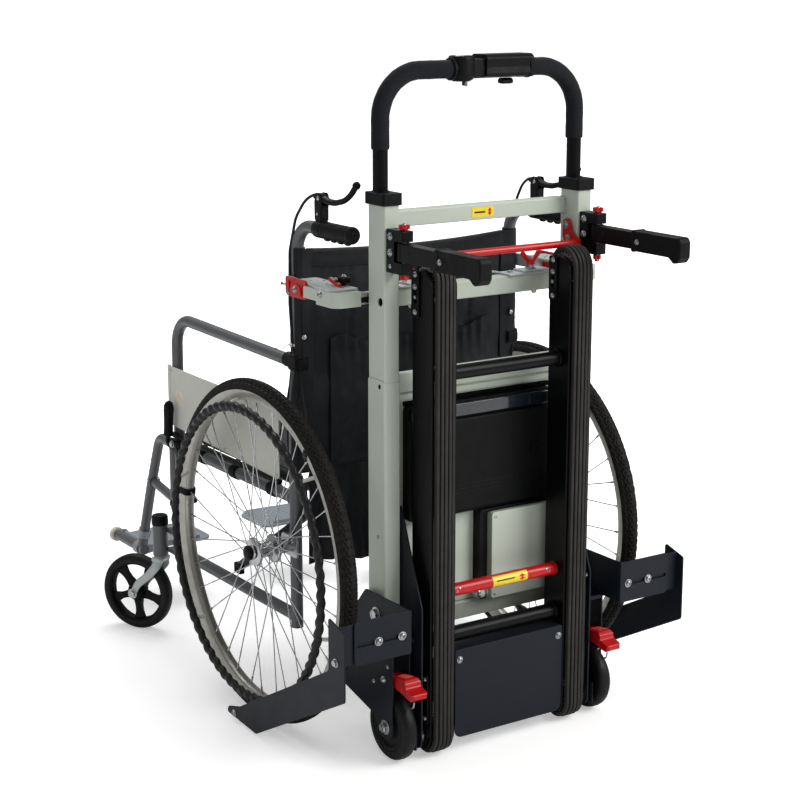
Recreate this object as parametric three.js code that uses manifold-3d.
// Stair chair: a motorised tracked stair climber with a manual folding wheelchair docked on it.
// Millimetres, +Z up. +Y is the way the seated person faces, -Y is the operator's side, +X is the
// seated person's right and X = 0 is the plane of symmetry. The pieces are drawn with Y = 0 at the
// rear faces of the two posts and Z = 0 on the ground; the root group then centres them along Y.
import * as THREE from "three";
import { mergeVertices } from "three/addons/utils/BufferGeometryUtils.js";
import Module from "manifold-3d";

const wasm = await Module();
wasm.setup();

// ---------- driving dimensions ----------
// A pair named ..._AXIS is where an axis lies, in its other two coordinates taken in X, Y, Z order.
const Y_MID = 390.5; // middle of the object's length
const GAP = 0.3;

// posts and pull handle
const POST_IN = 182, POST_OUT = 211.5, POST_DEPTH = 47.8;
const POST_FOOT = 215, POST_STEP = 646, POST_TOP = 930;
const TUBE_X = 197, TUBE_Y = 33, TUBE_R = 12, TUBE_AXIS = [TUBE_X, TUBE_Y];
const HANDLE_TOP = 1139, HANDLE_BEND = 75, HANDLE_AXIS = [TUBE_Y, HANDLE_TOP];
const FOAM_R = 14.8, FOAM_FROM = 1017;
const BUTTON_AXIS = [TUBE_Y, 962];
const LATCH_AXIS = [23.5, 870];
const CARRY_AXIS = [TUBE_X, -36];

// track unit
const TRACK_Y = -39, DRIVE_Z = 40, IDLER_Z = 810;
const DRIVE_AXIS = [TRACK_Y, DRIVE_Z], IDLER_AXIS = [TRACK_Y, IDLER_Z];
const DRIVE_BORE_R = 10.8;
const BELT_R = 36, BELT_T = 9, BELT_IN = 121, BELT_OUT = 159;
const PLATE_HALF = 27, PLATE_TOP_Z = 801, PLATE_T = 4.5;
const CROSS_Y = -38, UPPER_TUBE_Z = 655, PUSH_BAR_Z = 282, LOWER_TUBE_Z = 204;

// climber castors, pedals and chassis
const CASTOR_R = 58.5, CASTOR_X = 208, CASTOR_Y = -20, CASTOR_AXLE_R = 6;
const CASTOR_AXIS = [CASTOR_Y, CASTOR_R];
const PEDAL_Y = -15, PEDAL_AXIS = [PEDAL_Y, 142];
const CHEEK_IN = 221.5, CHEEK_OUT = 224.5;

// wheelchair
const WHEEL_Y = 265.5, WHEEL_R = 305, WHEEL_X = 297.7, RIM_OUT = 288;
const HANDRIM_X = 332, HANDRIM_R = 260, AXLE_R = 6, REAR_AXIS = [WHEEL_Y, WHEEL_R];
const SIDE_X = 225, SIDE_R = 11, FRONT_Y = 712, ARM_Z = 640, RAIL_Z = 170, SEAT_Z = 388;
const CANE_Y = 250, CANE_TOP = 876, CANE_FOOT_Y = 266, GRIP_END = 70;
const STEM_X = 255, STEM_Y = 750, STEM_AXIS = [STEM_X, STEM_Y];
const TRAIL = 56, CASTER_R = 77, REST_TURN = -32;
const PIVOT_Y = 740, HANGER_X = 222, FOOT_Z = 126, FOOT_END = 1036;
const FLIP_AXIS = [204, FOOT_Z];
const PARK_BRAKE_AXIS = [690, 400], HAND_BRAKE_AXIS = [166, 928];

// ---------- shape helpers ----------
const vector = (x, y, z) => new THREE.Vector3(x, y, z);
const clampedAngle = (cosine) => Math.acos(THREE.MathUtils.clamp(cosine, -1, 1));

// Reverses every triangle of an index array in place.
function flip(index) {
  for (let i = 0; i < index.length; i += 3) {
    [index[i + 1], index[i + 2]] = [index[i + 2], index[i + 1]];
  }
}

// Turns a closed three.js geometry into a Manifold with its faces outwards.
function solid(geometry) {
  const bare = new THREE.BufferGeometry();
  bare.setAttribute("position", geometry.getAttribute("position").clone());
  if (geometry.index) bare.setIndex(geometry.index.clone());
  const merged = mergeVertices(bare, 1e-4);
  const index = [];
  for (let i = 0; i < merged.index.count; i += 3) {
    const [a, b, c] = [0, 1, 2].map((k) => merged.index.getX(i + k));
    if (a !== b && b !== c && a !== c) index.push(a, b, c);
  }
  const build = () => new wasm.Manifold(new wasm.Mesh({
    numProp: 3,
    vertProperties: new Float32Array(merged.attributes.position.array),
    triVerts: new Uint32Array(index),
  }));
  const result = build();
  if (result.volume() >= 0) return result;
  flip(index);
  return build();
}

function geometryOf(shape, mirrored) {
  const mesh = shape.getMesh();
  const positions = new Float32Array(mesh.numVert * 3);
  const index = new Uint32Array(mesh.triVerts);
  for (let i = 0; i < mesh.numVert; i++) {
    for (let k = 0; k < 3; k++) {
      const sign = mirrored && k === 0 ? -1 : 1;
      positions[3 * i + k] = mesh.vertProperties[mesh.numProp * i + k] * sign;
    }
  }
  if (mirrored) flip(index);
  const geometry = new THREE.BufferGeometry();
  geometry.setAttribute("position", new THREE.BufferAttribute(positions, 3));
  geometry.setIndex(new THREE.BufferAttribute(index, 1));
  geometry.computeVertexNormals();
  return geometry;
}

const join = (...parts) => parts.flat().reduce((a, b) => a.add(b));
const cut = (body, ...tools) => tools.flat().reduce((a, b) => a.subtract(b), body);
const bothSides = (shape) => join(shape, solid(geometryOf(shape, true)));

function box(x0, x1, y0, y1, z0, z1) {
  const g = new THREE.BoxGeometry(x1 - x0, y1 - y0, z1 - z0);
  return solid(g.translate((x0 + x1) / 2, (y0 + y1) / 2, (z0 + z1) / 2));
}
// A box centred on X = 0.
const beam = (halfWidth, ...yz) => box(-halfWidth, halfWidth, ...yz);

// A round bar along an axis from start to end, at (p, q) in the other two coordinates.
function bar(axis, radius, start, end, p, q, segments = 12) {
  const g = new THREE.CylinderGeometry(radius, radius, end - start, segments);
  const mid = (start + end) / 2;
  if (axis === "x") g.rotateZ(-Math.PI / 2).translate(mid, p, q);
  if (axis === "y") g.translate(p, mid, q);
  if (axis === "z") g.rotateX(Math.PI / 2).translate(p, q, mid);
  return solid(g);
}

const flat = (outline) => outline.map(([u, v]) => new THREE.Vector2(u, v));

// An outline extruded along an axis. Its points are (Y, Z) for x, (X, Z) for y and (X, Y) for z.
function prism(axis, outline, start, end, hole) {
  const shape = new THREE.Shape(flat(outline));
  if (hole) shape.holes.push(new THREE.Path(flat(hole)));
  const g = new THREE.ExtrudeGeometry(shape, { depth: end - start, bevelEnabled: false });
  const place = new THREE.Matrix4();
  if (axis === "x") {
    place.makeBasis(vector(0, 1, 0), vector(0, 0, 1), vector(1, 0, 0)).setPosition(start, 0, 0);
  }
  if (axis === "y") {
    place.makeBasis(vector(1, 0, 0), vector(0, 0, 1), vector(0, -1, 0)).setPosition(0, end, 0);
  }
  if (axis === "z") place.setPosition(0, 0, start);
  return solid(g.applyMatrix4(place));
}

// The outline with its corners rounded, to one radius or to one per corner.
function rounded(outline, radii, steps = 2) {
  const count = outline.length;
  return outline.flatMap((point, i) => {
    const corner = new THREE.Vector2(...point);
    const before = new THREE.Vector2(...outline[(i + count - 1) % count]).sub(corner);
    const after = new THREE.Vector2(...outline[(i + 1) % count]).sub(corner);
    const room = 0.49 * Math.min(before.length(), after.length());
    before.normalize();
    after.normalize();
    const half = clampedAngle(before.dot(after)) / 2;
    const wanted = Array.isArray(radii) ? radii[i] : radii;
    const setback = Math.min(wanted / Math.tan(half), room);
    const radius = setback * Math.tan(half);
    if (radius < 0.05 || half > 1.55) return [point];
    const centre = before.clone().add(after).normalize()
      .multiplyScalar(radius / Math.sin(half)).add(corner);
    const first = corner.clone().addScaledVector(before, setback).sub(centre);
    const last = corner.clone().addScaledVector(after, setback).sub(centre);
    const from = Math.atan2(first.y, first.x);
    let turn = Math.atan2(last.y, last.x) - from;
    while (turn > Math.PI) turn -= 2 * Math.PI;
    while (turn < -Math.PI) turn += 2 * Math.PI;
    return Array.from({ length: steps + 1 }, (_, k) => {
      const angle = from + (turn * k) / steps;
      return [centre.x + radius * Math.cos(angle), centre.y + radius * Math.sin(angle)];
    });
  });
}
const rect = (u0, u1, v0, v1) => [[u0, v0], [u1, v0], [u1, v1], [u0, v1]];

// A slot-shaped outline: two half circles about (u, v0) and (u, v1).
function stadium(u, v0, v1, radius, steps = 8) {
  const halfCircle = (v, from) => Array.from({ length: steps + 1 }, (_, k) => {
    const angle = from + (Math.PI * k) / steps;
    return [u + radius * Math.cos(angle), v + radius * Math.sin(angle)];
  });
  return [...halfCircle(v0, Math.PI), ...halfCircle(v1, 0)];
}

// A centre line with rounded corners, sampled so that the sweep uses each sample once.
class BentLine extends THREE.Curve {
  constructor(corners, bend, arcSteps) {
    super();
    const p = corners.map((corner) => vector(...corner));
    const last = p.length - 1;
    this.points = [p[0]];
    this.tangents = [p[1].clone().sub(p[0]).normalize()];
    for (let i = 1; i < last; i++) {
      const before = p[i - 1].clone().sub(p[i]), after = p[i + 1].clone().sub(p[i]);
      // an end leg may be used up almost whole, an inner leg is shared by two bends
      const room = Math.min(
        before.length() * (i === 1 ? 0.95 : 0.48),
        after.length() * (i === last - 1 ? 0.95 : 0.48));
      before.normalize();
      after.normalize();
      const half = clampedAngle(before.dot(after)) / 2;
      const wanted = Array.isArray(bend) ? bend[i - 1] : bend;
      const setback = Math.min(wanted / Math.tan(half), room);
      const radius = setback * Math.tan(half);
      const centre = before.clone().add(after).normalize()
        .multiplyScalar(radius / Math.sin(half)).add(p[i]);
      const spoke = (leg) =>
        p[i].clone().addScaledVector(leg, setback).sub(centre).divideScalar(radius);
      const start = spoke(before), end = spoke(after);
      const turn = clampedAngle(start.dot(end));
      const side = end.clone().addScaledVector(start, -start.dot(end)).normalize();
      for (let k = 0; k <= arcSteps; k++) {
        const angle = (turn * k) / arcSteps, c = Math.cos(angle), s = Math.sin(angle);
        this.points.push(centre.clone().addScaledVector(start, radius * c)
          .addScaledVector(side, radius * s));
        this.tangents.push(start.clone().multiplyScalar(-s).addScaledVector(side, c).normalize());
      }
    }
    this.points.push(p[last]);
    this.tangents.push(p[last].clone().sub(p[last - 1]).normalize());
    this.steps = this.points.length - 1;
  }
  getPointAt(u) { return this.points[Math.round(u * this.steps)].clone(); }
  getTangentAt(u) { return this.tangents[Math.round(u * this.steps)].clone(); }
}

// A round bar swept along a bent line; bend is one radius or one per corner.
function sweep(corners, radius, bend, segments, arcSteps = 4) {
  const path = new BentLine(corners, bend, arcSteps);
  const circle = Array.from({ length: segments }, (_, k) => {
    const angle = (2 * Math.PI * k) / segments;
    return new THREE.Vector2(radius * Math.cos(angle), radius * Math.sin(angle));
  });
  const options = { steps: path.steps, extrudePath: path, bevelEnabled: false };
  return solid(new THREE.ExtrudeGeometry(new THREE.Shape(circle), options));
}
const straight = (from, to, radius, segments) => sweep([from, to], radius, 0, segments);

// A closed profile of (radius, X) pairs revolved about the X-parallel axis through the centre.
function turned(profile, [x0, y0, z0], segments) {
  const points = [...profile, profile[0]].map(([r, x]) => new THREE.Vector2(r, x + x0));
  const g = new THREE.LatheGeometry(points, segments);
  return solid(g.rotateZ(-Math.PI / 2).translate(0, y0, z0));
}
// Completes the -X half of a profile that is symmetric about X = 0.
const symmetric = (half) => [...half, ...half.map(([r, x]) => [r, -x]).reverse()];

// ---------- finishes ----------
const FINISH = {
  white: { color: 0xbec6bc, roughness: 0.5, metalness: 0.3 },
  black: { color: 0x141416, roughness: 0.45, metalness: 0.5 },
  dark: { color: 0x262b36, roughness: 0.5, metalness: 0.5 },
  plastic: { color: 0x18181a, roughness: 0.6, metalness: 0 },
  foam: { color: 0x232427, roughness: 0.9, metalness: 0 },
  red: { color: 0xc4151a, roughness: 0.35, metalness: 0.1 },
  steel: { color: 0xb6b8ba, roughness: 0.3, metalness: 1 },
  silver: { color: 0x6f747c, roughness: 0.35, metalness: 0.8 },
  panel: { color: 0xc9cbc5, roughness: 0.6, metalness: 0 },
  nylon: { color: 0x12151d, roughness: 0.85, metalness: 0 },
  rubber: { color: 0x1b1b1b, roughness: 0.85, metalness: 0 },
  casting: { color: 0x8a8d90, roughness: 0.5, metalness: 0.8 },
  footplate: { color: 0xa8b0b6, roughness: 0.45, metalness: 0.5 },
};

// ---------- assembly helpers ----------
const root = new THREE.Group();
root.position.y = -Y_MID;

function group(name, parent = root) {
  const g = new THREE.Group();
  g.name = name + "_group";
  parent.add(g);
  return g;
}
function put(parent, name, shape, finish, mirrored = false) {
  const material = new THREE.MeshStandardMaterial(finish);
  const mesh = new THREE.Mesh(geometryOf(shape, mirrored), material);
  mesh.name = name;
  parent.add(mesh);
}
function pair(parent, name, shape, finish) {
  put(parent, name + "_right", shape, finish);
  put(parent, name + "_left", shape, finish, true);
}

// ---------- lifting frame ----------
const frame = group("lifting_frame");

const post = cut(
  join(
    box(POST_IN, POST_OUT, 0, POST_DEPTH, POST_STEP - 20, POST_TOP),
    prism("z", rounded(rect(180.5, 213, -1.5, 49.3), 3), POST_FOOT, POST_STEP)),
  bar("z", TUBE_R + 0.5, 705, POST_TOP + 5, ...TUBE_AXIS, 20),
  bar("x", 7.2, 203, 215, 12, 775), // holes in the outer face
  bar("x", 4.3, 206, 215, 12.5, 635.6, 10),
  bar("x", 4.4, 181, 186, ...LATCH_AXIS));
put(frame, "upright_frame", join(
  bothSides(post),
  beam(182.5, 33.4, 60, 889.7, 916.2), // top bar
  cut(beam(182.5, 33.2, 63.2, 760, 789.6), // clamp rail, open at its ends
    bothSides(box(147, 190, 49.6, 61.9, 765.6, 786.4))),
  beam(183, 33.2, 47.4, 614, 648), // bar above the back panel
  beam(182, 33.2, 47.4, 196, 227), // foot bar
  bothSides(box(60, 148, 28, 62, 789, 797)) // pads under the wing bolts
), FINISH.white);

pair(frame, "post_cap", cut(
  prism("z", rounded(rect(178, 216, -4, 52), 4), POST_TOP + GAP, 950),
  bar("z", TUBE_R + 0.6, 925, 955, ...TUBE_AXIS, 20)), FINISH.plastic);

put(frame, "back_panel", join(
  beam(179.8, 40, 46, 228, 613),
  box(-6, 8, 28, 42, 231, 247), // cable clamp
  bar("x", 8, -18, 11, 26, 239, 10)), FINISH.panel);

put(frame, "battery_pack", join(
  prism("y", rounded(rect(-150, 152, 392, 590), 8), 14, 39.6),
  prism("y", rounded(rect(-118, 120, 410, 570), 8), 9.5, 15) // raised lid
), FINISH.plastic);

put(frame, "controller_housing",
  prism("y", rounded(rect(12, 156, 229, 389), 4), 8, 39.6), FINISH.panel);

function chassis() {
  const outerPlate = rounded(
    [[-93, 215], [-42, 215], [-42, 38], [-2, 38], [10, 70], [123, 98], [123, 190], [40, 286],
      [-93, 286]],
    [0, 4, 14, 14, 6, 6, 8, 8, 0]);
  const innerPlate = rounded(
    [[-62, 20], [-15, 20], [32, 120], [32, 300], [21, 431], [0, 431], [-59, 277], [-62, 270]],
    [14, 8, 4, 8, 3, 3, 6, 0]);
  const innerCheek = rounded(
    [[-42, 34], [20, 34], [40, 80], [40, 210], [-42, 210]], [12, 8, 8, 0, 0]);
  const plates = cut(
    join(
      prism("x", outerPlate, CHEEK_IN, CHEEK_OUT),
      prism("x", innerPlate, 176.5, 179.9),
      prism("x", innerCheek, 188, 191),
      prism("x", rect(-62, -15, 22, 60), 188, 191),
      box(176.5, CHEEK_OUT, -42, 32, 207, 214.6), // shelf under the post
      box(183.5, CHEEK_OUT, 30, 49, 207, 214.6),
      box(CHEEK_IN, 330, -93, -90, 212, 284), // slotted plate folded outwards
      bar("x", 3, 190, 222, ...PEDAL_AXIS, 8),
      bar("x", 10, 224, 229.5, 7, 250, 6)), // hexagon head beside the post
    bar("x", DRIVE_BORE_R, 170, 195, ...DRIVE_AXIS),
    prism("y", rounded(rect(232, 326, 242, 250), 3.9), -96, -88));
  // the castor's axle bolt is held tight in both cheeks, so it is one piece with them
  return join(plates,
    bar("x", CASTOR_AXLE_R, 185, 227, ...CASTOR_AXIS),
    bar("x", 10, 224, 230.5, ...CASTOR_AXIS, 6),
    bar("x", 10, 182, 188.2, ...CASTOR_AXIS, 6));
}
pair(frame, "chassis", chassis(), FINISH.dark);

// clevis on the rear of each post, with the pin and knobs of its carry handle
pair(frame, "handle_bracket", join(
  cut(box(186, 208, -46, -0.4, 825, 895), box(185, 209, -50, -22, 843, 878)),
  bar("z", 4, 817, 897, ...CARRY_AXIS, 10),
  box(191, 203, -44, -30, 896, 902),
  box(194, 208, -39, -33, 899, 905),
  box(191, 203, -42, -31, 816, 823),
  [879, 845].map((z) => bar("x", 5, 183.6, 210.4, -10, z, 8))), FINISH.black);

// ---------- pull handle ----------
const pull = group("pull_handle", frame);
// An upside-down U whose legs start at height z.
const handleBar = (z, radius, segments) => sweep([
  [-TUBE_X, TUBE_Y, z], [-TUBE_X, TUBE_Y, HANDLE_TOP],
  [TUBE_X, TUBE_Y, HANDLE_TOP], [TUBE_X, TUBE_Y, z],
], radius, HANDLE_BEND, segments);

put(pull, "pull_handle_tube", cut(
  handleBar(720, TUBE_R, 10),
  handleBar(719, TUBE_R - 2, 6),
  bar("x", 4.6, 203, 212, ...BUTTON_AXIS, 10)), FINISH.black);
put(pull, "pull_handle_foam", cut(
  handleBar(FOAM_FROM, FOAM_R, 10),
  handleBar(FOAM_FROM - 1, TUBE_R + 0.5, 10)), FINISH.foam);
put(pull, "control_box", cut(
  join(
    prism("x", rounded([[12, 1126], [50, 1121], [58, 1128], [58, 1156], [50, 1162], [16, 1162],
      [10, 1156]], 4), -16, 92),
    bar("x", 22, -58, -22, ...HANDLE_AXIS, 14), // clamp
    box(-28, -10, 14, 28, 1128, 1152),
    bar("z", 5, 1112, 1120, -33, TUBE_Y, 8)), // locking knob under the clamp
  bar("x", 17.2, -75, 100, ...HANDLE_AXIS, 14),
  box(37, 64, 22, 46, 1110, 1124)), FINISH.plastic);
put(pull, "drive_rocker", prism("x",
  [[27, 1113], [41, 1113], [42, 1118], [38, 1122], [30, 1122], [26, 1118]], 40, 61),
FINISH.plastic);
put(pull, "height_button", bar("x", 4, 204, 212.5, ...BUTTON_AXIS), FINISH.steel);

// ---------- carry handles and latch bar ----------
function carryHandle() {
  const grip = rounded(
    [[-141, 844], [-141, 877.5], [-250, 877.5], [-255, 870], [-255, 846], [-249, 837],
      [-238, 835], [-226, 843]],
    [2, 4, 4, 4, 6, 5, 4, 6]);
  return join(
    cut(
      join(bar("z", 10.6, 846, 875, ...CARRY_AXIS, 16), box(187, 207, -150, -40, 846, 875)),
      bar("z", 4.5, 840, 880, ...CARRY_AXIS)),
    prism("x", grip, 185.5, 208.5),
    bar("x", 4.5, 184, 210, -151, 860, 8));
}
pair(group("carry_handle", frame), "carry_handle", carryHandle(), FINISH.plastic);

const strap = join(
  prism("x", rounded([[14, 881], [10, 862], [-4, 853], [-14, 849.5], [-14, 836.5], [-4, 835],
    [12, 836], [26, 838], [33, 850], [33, 881]], 4, 1), 176, 179.5),
  bar("x", 4, 174, 184, ...LATCH_AXIS, 10),
  bar("x", 4, 174, 179.5, 18, 849, 10));
put(frame, "latch_bar", join(bar("x", 6, -178, 178, -8, 843, 8), bothSides(strap)), FINISH.red);

// ---------- track unit ----------
const track = group("track_unit", frame);

function trackPlates() {
  const outline = stadium(TRACK_Y, DRIVE_Z, PLATE_TOP_Z, PLATE_HALF);
  return cut(
    join(
      [115, 160.5].map((x) => prism("x", outline, x, x + PLATE_T)),
      prism("x", rounded(rect(-34, -13, 752, 826), 4), 164, 168.5), // belt tensioner plate
      bar("x", 4.5, 168, 171.5, -24, 793, 6),
      prism("x", rounded(rect(-63, -14, 62, 150), 5), 164, 168.5), // bearing plate
      bar("x", 4.5, 168, 171.5, -48, 134, 6)),
    bar("x", DRIVE_BORE_R, 110, 172, ...DRIVE_AXIS),
    bar("x", 6.6, 110, 175, ...IDLER_AXIS));
}
put(track, "track_frame", join(
  bothSides(trackPlates()),
  bar("x", 12, -163, 163, CROSS_Y, UPPER_TUBE_Z),
  bar("x", 13.5, -163, 163, CROSS_Y, LOWER_TUBE_Z)), FINISH.black);
// a sleeve between the inner plates
put(track, "push_bar", bar("x", 11, -114.6, 114.6, CROSS_Y, PUSH_BAR_Z), FINISH.red);

const beltLoop = (radius) => stadium(TRACK_Y, DRIVE_Z, IDLER_Z, radius, 12);
pair(track, "track_belt",
  prism("x", beltLoop(BELT_R), BELT_IN, BELT_OUT, beltLoop(BELT_R - BELT_T)), FINISH.rubber);

put(track, "motor_cover", join(
  beam(114, -66.5, -64, 28, 186),
  bothSides(box(111.5, 114, -66, -34, 66, 186)),
  beam(114, -66, -52, 183.5, 186),
  [-105, 105].map((x) => bar("y", 4.5, -69, -66, x, 168, 8))), FINISH.dark);
put(track, "gearmotor", cut(
  join(
    prism("x", rounded([[-60, 20], [-14, 20], [30, 60], [40, 100], [20, 120], [-58, 90]], 8),
      -45, 45),
    bar("x", 40, -108, 108, 20, 100, 14)),
  bar("x", DRIVE_BORE_R, -60, 60, ...DRIVE_AXIS)), FINISH.casting);

// A ribbed roller that a belt runs round.
function drum(x0, x1, z) {
  const teeth = 10, tipR = 26.3, rootR = 23, halfPitch = Math.PI / teeth;
  const outline = [];
  for (let k = 0; k < teeth; k++) {
    for (const [radius, offset] of [[tipR, -0.5], [tipR, 0.5], [rootR, 1]]) {
      const angle = (2 * Math.PI * k) / teeth + offset * halfPitch;
      outline.push([TRACK_Y + radius * Math.cos(angle), z + radius * Math.sin(angle)]);
    }
  }
  return prism("x", outline, x0, x1);
}
put(track, "drive_shaft", join(
  bar("x", 10, -193.5, 193.5, ...DRIVE_AXIS),
  drum(122, 158, DRIVE_Z),
  drum(-158, -122, DRIVE_Z)), FINISH.steel);
pair(track, "idler_roller",
  join(bar("x", 6, 116, 170, ...IDLER_AXIS), drum(122, 158, IDLER_Z)), FINISH.steel);

// ---------- climber castors and pedals ----------
pair(frame, "castor_wheel", turned(
  symmetric([[6.8, -12], [42, -12], [54, -11.5], [CASTOR_R, -5]]),
  [CASTOR_X, ...CASTOR_AXIS], 18), FINISH.rubber);

function brakePedal() {
  const lengthScale = 0.8; // shortens the outline along Y towards its pivot
  const outline = [[-14, 136.5], [-12, 148], [-84, 157], [-92, 152], [-93, 144], [-118, 139],
    [-121, 132], [-113, 127], [-82, 130], [-40, 136]]
    .map(([y, z]) => [PEDAL_Y + (y - PEDAL_Y) * lengthScale, z]);
  return cut(
    join(bar("x", 7.5, 193, 219.5, ...PEDAL_AXIS), prism("x", rounded(outline, 3), 193, 219.5)),
    bar("x", 3.6, 190, 222, ...PEDAL_AXIS));
}
pair(frame, "brake_pedal", brakePedal(), FINISH.red);

// ---------- wheel trays ----------
function wheelTray() {
  const outline = rounded(
    [[-105, 160], [188, 3], [292, 10], [286, 22], [246, 34], [-57, 200], [-57, 290], [-105, 276]],
    [6, 3, 3, 6, 8, 8, 3, 3]);
  return join(
    prism("x", outline, 354, 357),
    box(230, 355, -89.6, -86.6, 215, 281), // plate in front of the chassis' slotted plate
    [238.5, 284].flatMap((x) => [ // bolts through the slot
      bar("y", 3.5, -97, -88, x, 246, 8),
      bar("y", 7, -97, -93.4, x, 246, 6)]),
    bar("x", 7, 350, 358, 265, 15, 6),
    bar("x", 7, 350, 358, -79, 220, 6));
}
pair(frame, "wheel_tray", wheelTray(), FINISH.dark);

// ---------- cane clamps and wing bolts ----------
function clampArm() {
  const elbow = rounded(
    [[224, 48.6], [264, 48.6], [275, 60], [275, 107], [262, 107], [262, 72], [224, 72]],
    [0, 10, 14, 0, 0, 4, 0], 3);
  return join(
    box(150, 226, 50, 61.5, 766, 786), // inner tube, sliding in the end of the clamp rail
    prism("z", elbow, 763.5, 788.5),
    box(262, 273.5, 106, 150, 768, 788), // block
    box(266, 270, 147, 214, 763.5, 796), // jaw plate
    box(224, 263, 60, 192, 788, 792.5), // top plate
    box(246, 268, 200, 212, 766, 788),
    box(237.6, 247, 200, 258, 764, 790), // pad on the cane
    bar("z", 9, 792, 806, 232, 98, 10), // cam knob
    box(238, 243, 84, 116, 792, 802), // its lever
    bar("x", 4.5, 269, 276, 186, 780, 8),
    bar("x", 5, 274, 278, 93, 783, 8));
}
pair(frame, "clamp_arm", clampArm(), FINISH.white);

const wings = [[113, 803], [121, 803], [126, 809], [139, 822], [135, 827], [122, 814], [112, 814],
  [99, 827], [95, 822], [108, 809]];
pair(frame, "wing_bolt", join(
  bar("z", 9, 797.4, 802, 117, 45),
  bar("z", 4.5, 801, 808, 117, 45, 10),
  prism("y", rounded(wings, 2), 43, 47)), FINISH.red);

// ---------- wheelchair ----------
const chair = group("wheelchair");

function sideFrame() {
  const onSide = (...points) => points.map(([y, z]) => [SIDE_X, y, z]);
  const tubes = join(
    sweep(onSide([CANE_FOOT_Y, 150], [CANE_FOOT_Y, 560], [CANE_Y, 640], [CANE_Y, CANE_TOP],
      [GRIP_END + 2, CANE_TOP]), SIDE_R, [90, 90, 48], 8, 3),
    straight(...onSide([CANE_FOOT_Y, RAIL_Z], [FRONT_Y, RAIL_Z]), SIDE_R, 8),
    sweep(onSide([CANE_Y, ARM_Z - 6], [FRONT_Y, ARM_Z + 5], [FRONT_Y, 158]), SIDE_R, 55, 8),
    straight(...onSide([CANE_FOOT_Y, SEAT_Z], [FRONT_Y, SEAT_Z]), SIDE_R, 8));
  const barrel = cut(
    bar("z", 15, 160, 228, ...STEM_AXIS), bar("z", 7.8, 155, 222, ...STEM_AXIS, 8));
  return join(
    cut(tubes, bar("z", 20, 155, 235, ...STEM_AXIS, 8)),
    barrel,
    [168, 210].map((z) => box(222, 250, 704, 742, z, z + 8)),
    bar("x", AXLE_R, 222, 327, ...REAR_AXIS),
    box(217, 237, 245, 290, 280, 330),
    bar("x", 12, 236, 260, ...REAR_AXIS),
    bar("y", 14.5, GRIP_END, 178, SIDE_X, CANE_TOP), // push grip
    [306, 366].map((z) => box(219, 231, 710, PIVOT_Y - 10.5, z, z + 12)), // hanger catches
    box(217, 233, 158, 178, 888, 916), // brake lever bracket
    [217, 230.6].map((x) => box(x, x + 2.4, 157, 176, 910, 937)),
    bar("x", 3, 217.5, 232.5, ...HAND_BRAKE_AXIS, 8),
    box(228, 242, 676, 704, 380, 413), // parking brake bracket and pivot
    bar("x", 5, 240, 256, ...PARK_BRAKE_AXIS, 10));
}
pair(chair, "chair_frame", sideFrame(), FINISH.silver);

put(chair, "cross_brace", join(
  [-203, 203].map((x) => straight([x, 288, 411], [x, 694, 411], 9, 8)),
  straight([-203, 488, 408], [208, 488, 192], 9, 8),
  straight([203, 510, 408], [-208, 510, 192], 9, 8),
  bar("y", 6, 484, 514, 0, 301.5, 10)), FINISH.silver);
put(chair, "seat_sling", prism("y", [[-213, 420.5], [-120, 420.5], [0, 420.5], [120, 420.5],
  [213, 420.5], [213, 428], [-213, 428]], 290, 690), FINISH.nylon);
put(chair, "back_sling", prism("x", rounded([[245, 262], [253, 262], [256, 434], [258, 560],
  [256, 826], [250, 830], [244, 830], [240, 826], [240, 434]], 3), -213.4, 213.4), FINISH.nylon);
pair(chair, "side_panel", prism("x",
  rounded([[299, 414], [725, 430], [725, 550], [299, 546]], 6), 236.6, 239.6), FINISH.panel);

// Rear wheel about its own axis: hub, spokes, rim and handrim.
function rearWheel() {
  const hub = [[6.8, 263], [24, 270], [24, 275], [13, 279], [13, 303], [24, 307], [24, 311],
    [6.8, 320]];
  const rim = [[268, 288], [RIM_OUT - 1, 284.5], [RIM_OUT - 1, 311], [268, 307.5]];
  const handrim = [0, 1, 2, 3, 4].map((k) => {
    const angle = (k * Math.PI) / 2.5;
    return [HANDRIM_R + 8 * Math.cos(angle), HANDRIM_X + 8 * Math.sin(angle)];
  });
  const at = (x, r, angle) => [x, r * Math.cos(angle), r * Math.sin(angle)];
  const parts = [turned(hub, [0, 0, 0], 10), turned(rim, [0, 0, 0], 24),
    turned(handrim, [0, 0, 0], 24)];
  for (let k = 0; k < 6; k++) { // handrim stays
    const angle = (2 * Math.PI * (k + 0.3)) / 6;
    parts.push(straight(at(302, 272, angle), at(HANDRIM_X, 261, angle), 4, 4));
  }
  for (let k = 0; k < 12; k++) { // spokes, from the two hub flanges by turns
    const angle = (2 * Math.PI * k) / 12;
    const lean = ((k >> 1) % 2 ? 1 : -1) * 1.05;
    const flangeX = k % 2 ? 309 : 273;
    parts.push(straight(at(flangeX, 21, angle + lean), at(WHEEL_X, 270, angle), 1.4, 3));
  }
  return join(parts);
}
const wheelSolid = rearWheel();
const tyreSolid = turned([[RIM_OUT - 0.4, 285], [297, 280.9], [WHEEL_R, 292], [WHEEL_R, 303.4],
  [297, 314.5], [RIM_OUT - 0.4, 310.4]], [0, 0, 0], 24);
for (const side of ["right", "left"]) {
  const wheel = group("rear_wheel_" + side, chair);
  wheel.position.set(0, ...REAR_AXIS);
  put(wheel, "rear_wheel_" + side, wheelSolid, FINISH.steel, side === "left");
  put(wheel, "rear_tyre_" + side, tyreSolid, FINISH.rubber, side === "left");
}

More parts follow.
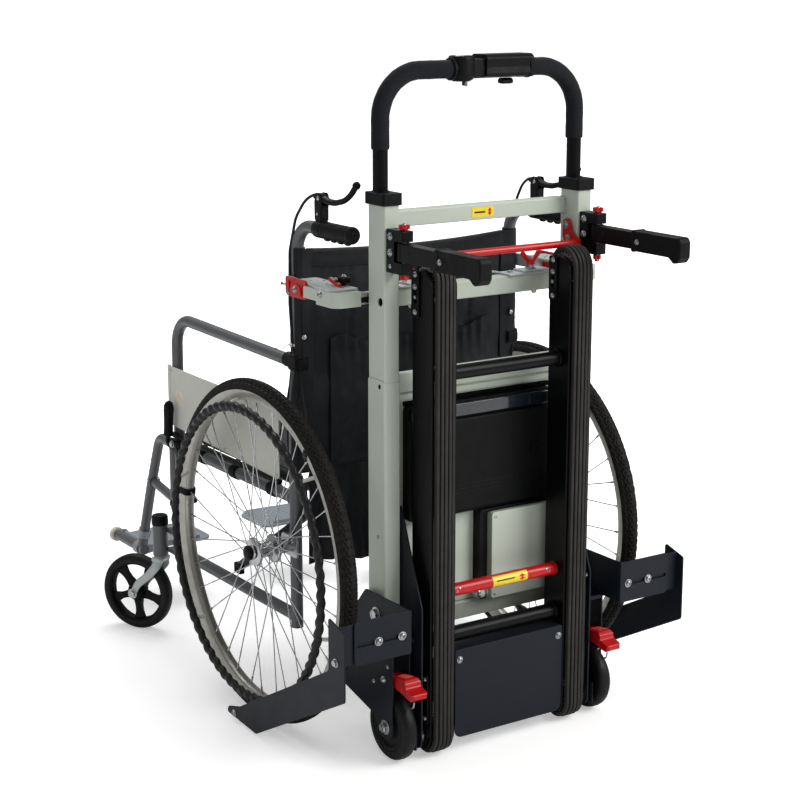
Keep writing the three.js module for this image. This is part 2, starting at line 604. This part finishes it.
// front casters: the wheel's axle lies ahead of the stem before both are turned about the stem
const turnAboutStem = (shape) => shape.translate([-STEM_X, -STEM_Y, 0])
  .rotate([0, 0, REST_TURN]).translate([STEM_X, STEM_Y, 0]);
const CASTER_AXIS = [STEM_Y + TRAIL, CASTER_R];

function casterFork() {
  // (Y from the stem, Z)
  const arm = rounded(
    [[-14, 156], [14, 156], [18, 138], [TRAIL - 2, 96], [TRAIL + 9, 78], [TRAIL + 4, 64],
      [TRAIL - 8, 66], [TRAIL - 16, 90], [2, 124], [-14, 140]],
    [2, 4, 12, 14, 6, 6, 6, 12, 10, 4]).map(([y, z]) => [y + STEM_Y, z]);
  const crown = rounded(rect(STEM_X - 21, STEM_X + 21, STEM_Y - 14, STEM_Y + 14), 6);
  return join(
    bar("z", 7, 150, 220, ...STEM_AXIS, 8),
    prism("z", crown, 149, 157),
    [STEM_X - 21, STEM_X + 17].map((x) => prism("x", arm, x, x + 4)),
    bar("x", 5, STEM_X - 24, STEM_X + 24, ...CASTER_AXIS, 10));
}
pair(chair, "caster_fork", turnAboutStem(casterFork()), FINISH.steel);

function casterWheel() {
  const half = [[5.8, -14], [18, -12], [20, -6], [59, -6], [63, -13], [CASTER_R, -5]];
  const [y0, z0] = CASTER_AXIS;
  // openings between the spokes: (radius, angle) of each corner
  const opening = [[24, -0.12], [24, 0.12], [51, 0.44], [54, 0], [51, -0.44]];
  const holes = [0, 1, 2, 3, 4].map((k) => {
    const turn = (2 * Math.PI * k) / 5 + 0.25;
    const outline = opening.map(([r, angle]) =>
      [y0 + r * Math.cos(turn + angle), z0 + r * Math.sin(turn + angle)]);
    return prism("x", outline, STEM_X - 20, STEM_X + 20);
  });
  return cut(turned(symmetric(half), [STEM_X, y0, z0], 18), holes);
}
pair(chair, "caster_wheel", turnAboutStem(casterWheel()), FINISH.rubber);

// swing-away footrests and flip-up footplates
pair(chair, "footrest", join(
  bar("z", 9, 260, 392, SIDE_X, PIVOT_Y),
  sweep([[SIDE_X, PIVOT_Y, 386], [HANGER_X, 806, 386], [HANGER_X, 852, 275],
    [HANGER_X, 906, FOOT_Z]], 10, [26, 60], 8),
  straight([SIDE_X, PIVOT_Y, 272], [HANGER_X, 847, 287], 9, 8),
  straight([HANGER_X, 898, FOOT_Z], [HANGER_X, FOOT_END, FOOT_Z], 10, 8),
  [893.5, 1023].map((y) => box(199, HANGER_X, y, y + 5, FOOT_Z - 5, FOOT_Z + 5)),
  bar("y", 3, 894, 1027, ...FLIP_AXIS, 8)), FINISH.silver);

function footplate() {
  const z0 = FOOT_Z - 4, z1 = FOOT_Z + 3;
  const plate = rounded([[62, 905], [62, 1000], [90, 1028], [196, 1021], [196, 900], [80, 893]],
    [16, 16, 20, 4, 4, 14]);
  const rib = [[899.5, z0], [901, z1], [901, FOOT_Z + 9], [904, FOOT_Z + 9], [905, z1], [905, z0]];
  return cut(
    join(
      prism("z", plate, z0, z1),
      prism("x", rounded(rib, 0.1), 90, 180),
      box(194, 204, 900, 1021.5, z0, z1),
      bar("y", 6.5, 900, 1021.5, ...FLIP_AXIS)),
    bar("y", 3.7, 890, 1030, ...FLIP_AXIS));
}
pair(chair, "footplate", footplate(), FINISH.footplate);

// parking brakes and hand-brake levers
pair(chair, "park_brake", cut(
  join(
    prism("x", rounded([[682, 392], [694, 386], [716, 392], [714, 408], [698, 410], [684, 408]],
      4), 249, 253),
    prism("x", rounded([[684, 408], [698, 404], [606, 302], [596, 308]], 4), 249, 253),
    sweep([[251, 704, 396], [253, 712, 400], [254, 700, 478]], 8, 6, 8, 2),
    bar("x", 7.5, 250, 304, 600, 310, 8)),
  bar("x", 5.5, 240, 260, ...PARK_BRAKE_AXIS)), FINISH.black);
pair(chair, "hand_brake", cut(
  join(
    bar("x", 9, 219.8, 230.2, ...HAND_BRAKE_AXIS, 14),
    sweep([[SIDE_X, 162, 928], [SIDE_X, 124, 924], [SIDE_X, 90, 932], [SIDE_X, 61, 957]],
      4.8, [40, 30], 6, 2),
    bar("x", 6.5, 220, 230, 60, 958, 10)),
  bar("x", 3.6, 215, 235, ...HAND_BRAKE_AXIS)), FINISH.black);

export default root;
